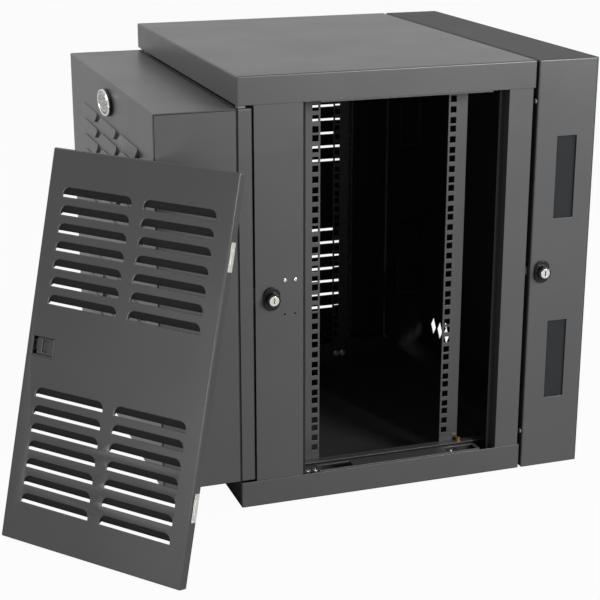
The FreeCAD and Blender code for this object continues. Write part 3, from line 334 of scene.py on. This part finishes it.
zinc = plated("zinc_plate", (0.74, 0.73, 0.70), 0.24, 0.2)
nickel = plated("nickel_plate", (0.86, 0.84, 0.80), 0.1, 0.12)
brass = plated("brass", (0.75, 0.42, 0.13), 0.3, 0.2)
dress(zinc, "rail_nuts", "keeper_plate", "door_lock_nut", "swing_lock_nut", "door_lock_cam",
      "swing_lock_cam", "door_striker", "swing_striker", "door_pivot_brackets",
      "door_pivot_pins", "swing_hinge_pins", "left_panel_clips", "right_panel_clips",
      "rail_screws")
dress(nickel, "door_lock_cylinder", "swing_lock_cylinder", "keeper_screws")
dress(brass, "earth_stud")
dress(shaded_rail_coat, "swing_hinge_wall_leaves", "swing_hinge_centre_leaves")
for lock in ("door_lock", "swing_lock"):
    eased(f"{lock}_cylinder", lock, nickel, 0.0005)

# the taken-off panel: its louvres' rims are drawn in softly, and their floors and the fold
# along its side carry painted shade, as darker copies of the coat
louvre_shade_coat = powder_coat("louvre_floor_shade_coat", (0.012, 0.012, 0.012), dark_edge_highlight, 0.7, False)
louvre_shade_surface = louvre_shade_coat.node_tree.nodes["Principled BSDF"]
# painted shade: the louvre floors also reflect less
louvre_shade_surface.inputs["Specular IOR Level"].default_value = 0.2
# painted shade: a darker copy of the coat on the fold along the panel's side
fold_shade_coat = powder_coat("panel_fold_shade_coat", (0.016, 0.0162, 0.0165), coat_edge_highlight, 0.5, False)
LOUVRE_SHADE, FOLD_SHADE = 1, 2
rim_radius = 0.0012
fold_radius = 0.0005
border = 0.012
floor_depth = 0.0014
sheet = flat_copy("right_side_panel")
outer = max((f for f in sheet.faces if f.normal.y < 0), key=lambda f: f.calc_area())
out = outer.normal.copy()
outer_level = out.dot(outer.verts[0].co)
axes = [Vector((-out.y, out.x, 0)).normalized()]
axes.append(out.cross(axes[0]))
spans = [(min(v.co.dot(axis) for v in sheet.verts), max(v.co.dot(axis) for v in sheet.verts))
         for axis in axes]


def in_field(point):
    """Whether a point of the panel lies clear of its folded border."""
    return all(least + border < point.dot(axis) < most - border
               for axis, (least, most) in zip(axes, spans))


rims = [
    edge for edge in sharp_edges(sheet)
    if all(in_field(v.co) and outer_level - out.dot(v.co) < 1e-5 for v in edge.verts)]
round_off(sheet, rims, rim_radius, 3, clamped=False)
round_off(sheet, sharp_edges(sheet), fold_radius, 2)
for face in sheet.faces:
    middle = face.calc_center_median()
    sunk = outer_level - out.dot(middle) > floor_depth
    if in_field(middle) and sunk and face.normal.dot(out) > -0.3:
        face.material_index = LOUVRE_SHADE
    elif not in_field(middle) and face.normal.dot(axes[0]) > 0.9:
        face.material_index = FOLD_SHADE
piece("right_panel_sheet", sheet, "right_panel",
      [panel_coat, louvre_shade_coat, fold_shade_coat], "right_side_panel")
eased("door_shell", "front_door", door_coat, 0.0007)

# ---------------------------------------------------------------- screws
# Pan-head machine screws with a cross recess: two nickel ones in the lock's keeper plate and
# sixteen zinc ones that hold the rack rails to their supports.


def pan_head(shape, place, radius, height):
    """A domed head on the XY plane with a cross pressed into it, carried to its place."""
    head = bmesh.new()
    bmesh.ops.create_cone(
        head, cap_ends=True, segments=24, radius1=radius, radius2=radius * 0.86, depth=height,
        matrix=Matrix.Translation((0, 0, height / 2)))
    top_edges = [edge for edge in head.edges if all(v.co.z > height * 0.9 for v in edge.verts)]
    bmesh.ops.bevel(
        head, geom=top_edges, offset=height * 0.45, segments=4, profile=0.5, affect="EDGES",
        material=-1, clamp_overlap=True)
    arm, half = radius * 0.55, radius * 0.11
    for axis in ((1, 0, 0), (0, 1, 0)):
        for offset in (-arm, -half, half, arm):
            bmesh.ops.bisect_plane(
                head, geom=[*head.verts, *head.edges, *head.faces],
                plane_co=Vector(axis) * offset, plane_no=axis)
    cross = []
    for face in head.faces:
        middle = face.calc_center_median()
        near, far = sorted((abs(middle.x), abs(middle.y)))
        if face.normal.z > 0.9 and middle.z > height * 0.5 and near < half and far < arm:
            cross.append(face)
    bmesh.ops.inset_region(head, faces=cross, thickness=half * 0.3, depth=-height * 0.5)
    bmesh.ops.transform(head, matrix=place, verts=head.verts)
    mesh = bpy.data.meshes.new("head")
    head.to_mesh(mesh)
    head.free()
    shape.from_mesh(mesh)
    bpy.data.meshes.remove(mesh)


def screws(node, body, finish, radius, head_height, side):
    """Redraw a node of screws lying along X: each loose solid gives one screw's place.

    side is the way the heads face along X, or 0 where they face the middle of the cabinet.
    """
    source = joined_copy(node)
    waiting = set(source.verts)
    shape = bmesh.new()
    for seed in source.verts:
        if seed not in waiting:
            continue
        waiting.remove(seed)
        found = [seed]
        for vert in found:
            for edge in vert.link_edges:
                other = edge.other_vert(vert)
                if other in waiting:
                    waiting.remove(other)
                    found.append(other)
        xs = sorted(vert.co.x for vert in found)
        middle = sum((vert.co for vert in found), Vector()) / len(found)
        outward = side or (-1 if middle.x > 0 else 1)
        tip, end = (xs[-1], xs[0]) if outward > 0 else (xs[0], xs[-1])
        seat = tip - outward * head_height
        turn = Matrix.Rotation(math.radians(90 * outward), 4, "Y")
        pan_head(shape, Matrix.Translation((seat, middle.y, middle.z)) @ turn, radius, head_height)
        bmesh.ops.create_cone(
            shape, cap_ends=True, segments=16, radius1=radius * 0.5, radius2=radius * 0.5,
            depth=abs(seat - end),
            matrix=Matrix.Translation(((seat + end) / 2, middle.y, middle.z)) @ turn)
    source.free()
    return piece(f"{node}_heads", shape, body, [finish], node)


screws("keeper_screws", "centre_section", nickel, 0.0029, 0.0016, 1)
screws("rail_screws", "centre_section", zinc, 0.006, 0.003, 0)

# ---------------------------------------------------------------- black plastic and rubber
# Lock bodies, panel latches and brush rails are moulded black plastic.  The bumpers on the
# wall section and the pads between the door and the rims are grey rubber.


def moulded(name, shade, roughness, grain_size, depth, gloss=0.5):
    """Moulded plastic or rubber with a fine grain, faint mottling and a painted highlight on its
    edges.
    """
    def recipe(place):
        rounded, edge = soft_edge(place, 0.0005)
        cloud = place.noise(60.0, 3.0)
        grain = place.noise(grain_size, 2.0)
        # painted highlight: the edges are blended towards the brighter shade
        return {
            "Base Color": place.blend(
                cloud * 0.7 + edge * 0.3, tinted(shade, 0.85), tinted(shade, 1.2)),
            "Roughness": roughness - 0.05 + cloud * 0.1,
            "Normal": grain.bump(depth, 0.4, rounded),
            "Specular IOR Level": gloss,
        }
    return material(name, recipe)


plastic = moulded("black_plastic", (0.03, 0.031, 0.034), 0.34, 1500.0, 0.00004)
rubber = moulded("grey_rubber", (0.2, 0.2, 0.2), 0.7, 900.0, 0.00008)
dress(plastic, "brush_holders", "door_lock_body", "swing_lock_body", "right_panel_latch_case",
      "right_panel_latch_slide", "left_panel_latch_case", "left_panel_latch_slide")
dress(rubber, "seam_bumpers", "door_pads")
lock_plastic = moulded("black_lock_plastic", (0.006, 0.006, 0.007), 0.25, 900.0, 0.00001, 0.3)
eased("door_lock_body", "centre_section", lock_plastic, 0.0012)
eased("swing_lock_body", "rear_section", lock_plastic, 0.0012)
eased("seam_bumpers", "rear_section", rubber, 0.0008)
for side in ("right", "left"):
    eased(f"{side}_panel_latch_case", f"{side}_panel", plastic, 0.0006)
    eased(f"{side}_panel_latch_slide", f"{side}_panel_latch", plastic, 0.0009)

# ---------------------------------------------------------------- brush cable entries
# Each window of the wall section is closed by black nylon bristles in two rows, crimped in a
# rail on either side of the window, so that their tips meet unevenly along its middle.
random.seed(7)
bristle_pitch = 0.00125
bristle_radius = 0.00042
low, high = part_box("brush_bristles")
window_height = 0.125
reach = (high.y - low.y) / 2
strands = bmesh.new()
for wall, inward in ((high.x, -1), (low.x, 1)):
    for foot in (low.z, high.z - window_height):
        for row in range(int(window_height / bristle_pitch)):
            for layer in (0, 1):
                for root, way in ((low.y, 1), (high.y, -1)):
                    length = reach + random.uniform(-0.001, 0.0012)
                    level = foot + (row + 0.5 + layer * 0.5) * bristle_pitch
                    middle = Vector((
                        wall + inward * layer * bristle_radius,
                        root + way * length / 2, min(level, foot + window_height - bristle_radius)))
                    droop = math.radians(random.uniform(-1.2, 0.6))
                    turn = Matrix.Rotation(math.radians(-90 * way) + way * droop, 4, "X")
                    bmesh.ops.create_cone(
                        strands, cap_ends=True, segments=4, radius1=bristle_radius,
                        radius2=bristle_radius * 0.7, depth=length,
                        matrix=Matrix.Translation(middle) @ turn)
nylon = moulded("black_nylon", (0.012, 0.013, 0.015), 0.6, 3000.0, 0.00002, 0.2)
dress(nylon, "brush_bristles")
piece("brush_strands", strands, "rear_section", [nylon])

# ---------------------------------------------------------------- badge
# A blank oval badge pressed on the door: a dark moulded body, a bright rim, and a low dome of
# mottled silver with one plain raised ring.
low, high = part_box("door_badge")
half_width, half_height, thickness = (high.x - low.x) / 2, (high.z - low.z) / 2, high.y - low.y
BODY, RIM, FACE = range(3)
# inset from the outline, height as a share of the thickness, finish
badge_profile = (
    (0.0, 0.0, BODY), (0.0, 0.7, BODY), (0.0006, 0.86, RIM), (0.0015, 1.0, RIM),
    (0.0028, 1.0, RIM), (0.0034, 0.84, RIM), (0.0044, 0.8, BODY), (0.005, 0.88, FACE),
    (0.0075, 0.93, FACE), (0.0079, 0.98, FACE), (0.0092, 0.98, FACE), (0.0096, 0.92, FACE),
    (0.013, 0.97, FACE))
badge = bmesh.new()
bmesh.ops.create_circle(
    badge, segments=96, radius=1.0, matrix=Matrix.Diagonal((half_width, half_height, 1, 1)))
ring = list(badge.edges)
bmesh.ops.edgeloop_fill(badge, edges=ring)
for (inset, share, part), (last_inset, last_share, _) in zip(badge_profile[1:], badge_profile):
    grown = bmesh.ops.extrude_edge_only(badge, edges=ring)["geom"]
    ring = [made for made in grown if isinstance(made, bmesh.types.BMEdge)]
    verts = [made for made in grown if isinstance(made, bmesh.types.BMVert)]
    for face in (made for made in grown if isinstance(made, bmesh.types.BMFace)):
        face.material_index = part
        face.smooth = True
    shrink = [(half - inset) / (half - last_inset) for half in (half_width, half_height)]
    bmesh.ops.scale(badge, vec=(*shrink, 1), verts=verts)
    bmesh.ops.translate(badge, vec=(0, 0, thickness * (share - last_share)), verts=verts)
for face in bmesh.ops.edgeloop_fill(badge, edges=ring)["faces"]:
    face.material_index = FACE
bmesh.ops.recalc_face_normals(badge, faces=badge.faces)
centre = (low + high) / 2
upright = Matrix.Rotation(math.radians(90), 4, "X")
bmesh.ops.transform(
    badge, verts=badge.verts, matrix=Matrix.Translation((centre.x, high.y, centre.z)) @ upright)


def mottled_silver(place):
    """Cast silver finish, dark in its hollows."""
    rounded, _ = soft_edge(place, 0.0004)
    relief = place.noise(330.0, 3.0, 0.6).math("SUBTRACT", 0.38).math("MULTIPLY", 4.0)
    relief = relief.math("MAXIMUM", 0.0).math("MINIMUM", 1.0)
    return {
        "Base Color": place.blend(relief, (0.1, 0.1, 0.1, 1), (0.72, 0.72, 0.7, 1)),
        "Metallic": 1.0,
        "Roughness": 0.55 - relief * 0.25,
        "Normal": relief.bump(0.0004, 0.7, rounded),
    }


silver = material("mottled_silver", mottled_silver)
dress(nickel, "door_badge")
piece("badge_oval", badge, "front_door", [plastic, nickel, silver], "door_badge")

# ---------------------------------------------------------------- floor, light and camera
# A white sweep and five soft lamps, the strongest behind and above the right side, so that
# faces turned to the front are darker.  The camera and gloss see a brighter surround, and the
# floor's glow leaves out the cabinet's own footprint, a painted shadow that only reflections show.
floor_gap = 0.0005
paving = bmesh.new()
bmesh.ops.create_grid(paving, x_segments=1, y_segments=1, size=12.0)
bmesh.ops.translate(paving, verts=paving.verts, vec=(0, 0, cad_box[0][2] - floor_gap))
floor_mesh = bpy.data.meshes.new("floor")
paving.to_mesh(floor_mesh)
paving.free()
floor = bpy.data.objects.new("floor", floor_mesh)
bpy.context.scene.collection.objects.link(floor)
floor_finish = bpy.data.materials.new("white_floor")
floor_finish.use_nodes = True
floor_finish.node_tree.nodes.clear()
tree = Wire(floor_finish.node_tree)
path = tree.node("ShaderNodeLightPath", {}, {}, "Is Camera Ray")
glossy = tree.node("ShaderNodeLightPath", {}, {}, "Is Glossy Ray")
floor_place = tree.node("ShaderNodeTexCoord", {}, {}, "Object")
footprint = within(floor_place, (-0.32, -0.68, -1), (0.3, 0.02, 1))
paper = tree.node("ShaderNodeBsdfDiffuse", {}, {"Color": (0.35, 0.35, 0.35, 1)})
glow = tree.node("ShaderNodeEmission", {}, {"Color": (1, 1, 1, 1), "Strength": 1.0})
# painted shadow: gloss sees no floor glow under the cabinet
seen = tree.node("ShaderNodeMixShader", {}, {
    "Fac": path * 0.96 + glossy * (1 - footprint) * 0.62, 1: paper, 2: glow})
tree.node("ShaderNodeOutputMaterial", {}, {"Surface": seen})
floor_mesh.materials.append(floor_finish)

world = bpy.data.worlds.new("studio")
world.use_nodes = True
world.node_tree.nodes.clear()
bpy.context.scene.world = world
tree = Wire(world.node_tree)
rays = [tree.node("ShaderNodeLightPath", {}, {}, f"Is {kind} Ray")
        for kind in ("Camera", "Transmission")]
seen = rays[0].math("MAXIMUM", rays[1])
mirror = tree.node("ShaderNodeLightPath", {}, {}, "Is Glossy Ray")
strength = 0.1 + seen * 0.9 + mirror * 0.68
back = tree.node("ShaderNodeBackground", {}, {"Color": (1, 1, 1, 1), "Strength": strength})
tree.node("ShaderNodeOutputWorld", {}, {"Surface": back})


def lamp(name, place, aim, size, power):
    """A square area lamp aimed at a point, with its power in watts."""
    light = bpy.data.lights.new(name, "AREA")
    light.size = size
    light.energy = power
    holder = bpy.data.objects.new(name, light)
    holder.location = place
    holder.rotation_euler = (Vector(aim) - Vector(place)).to_track_quat("-Z", "Y").to_euler()
    bpy.context.scene.collection.objects.link(holder)


cabinet_middle = (0.2, -0.4, 0.0)
lamp("right_light", (2.8, 1.1, 1.1), cabinet_middle, 1.0, 108)
lamp("right_back_light", (1.6, 2.0, 1.6), cabinet_middle, 1.0, 36)
lamp("left_light", (-1.5, -2.4, 1.8), cabinet_middle, 1.0, 34)
lamp("left_back_light", (0.2, 3.0, 0.6), cabinet_middle, 1.0, 30)
lamp("front_light", (1.6, -3.25, 0.3), (0.4, -0.7, 0.0), 0.5, 26)

view = bpy.data.cameras.new("camera")
view.lens = 89.79
view.sensor_width = 36.0
view.clip_start = 0.05
camera = bpy.data.objects.new("camera", view)
camera.location = (2.2239, -1.1188, 0.64345)
azimuth, elevation = math.radians(71.139), math.radians(17.681)
back_axis = Vector((
    math.sin(azimuth) * math.cos(elevation), -math.cos(azimuth) * math.cos(elevation),
    math.sin(elevation)))
camera.rotation_euler = (-back_axis).to_track_quat("-Z", "Y").to_euler()
bpy.context.scene.collection.objects.link(camera)
bpy.context.scene.camera = camera
bpy.context.scene.view_settings.view_transform = "Standard"
